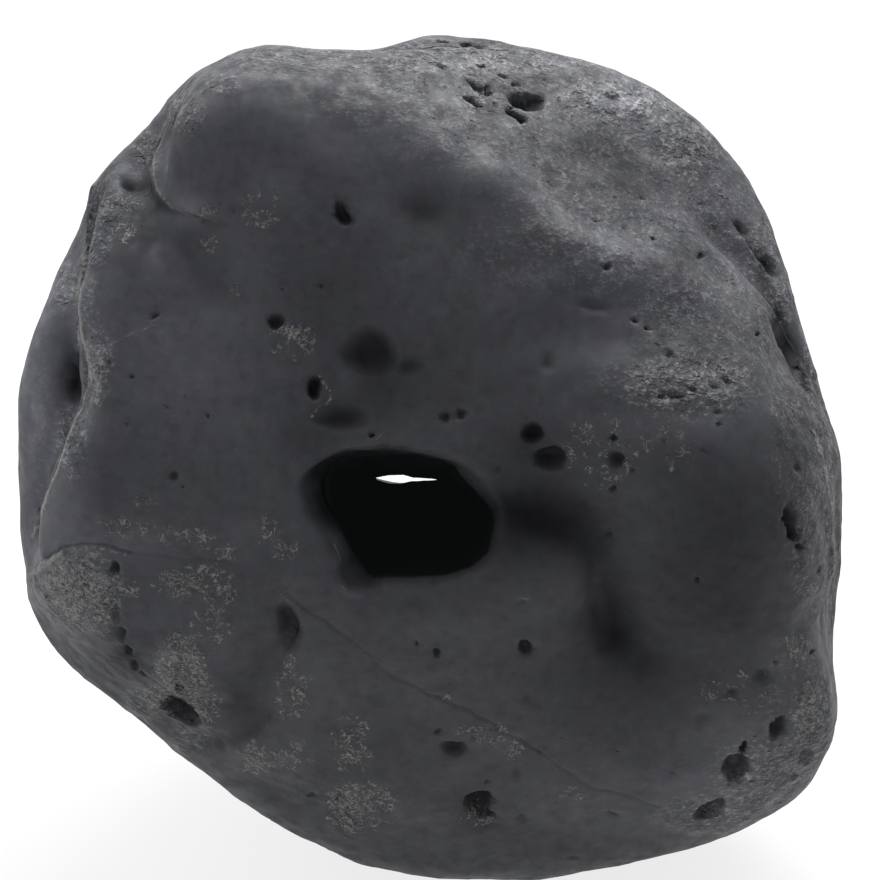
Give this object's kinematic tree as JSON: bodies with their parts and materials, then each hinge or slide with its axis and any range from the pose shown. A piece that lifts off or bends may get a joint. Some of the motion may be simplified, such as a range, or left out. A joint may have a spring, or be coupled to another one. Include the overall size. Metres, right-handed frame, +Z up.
{
  "type": "river rock",
  "caption": "Dark grey, water-worn basalt river rock with rounded lobes, gas-bubble pits and a hole worn right through it.",
  "frame": {"origin": "middle of the stone's box on the flat underside that it rests on", "axes": "+Z up, -Y towards the front, where the hole opens, and +X to the right as seen from the front"},
  "size_m": [0.1978, 0.167, 0.2006],
  "materials": {
    "basalt": "water-worn matte"
  },
  "bodies": {
    "root": {"river_rock": "basalt"}
  },
  "joints": []
}
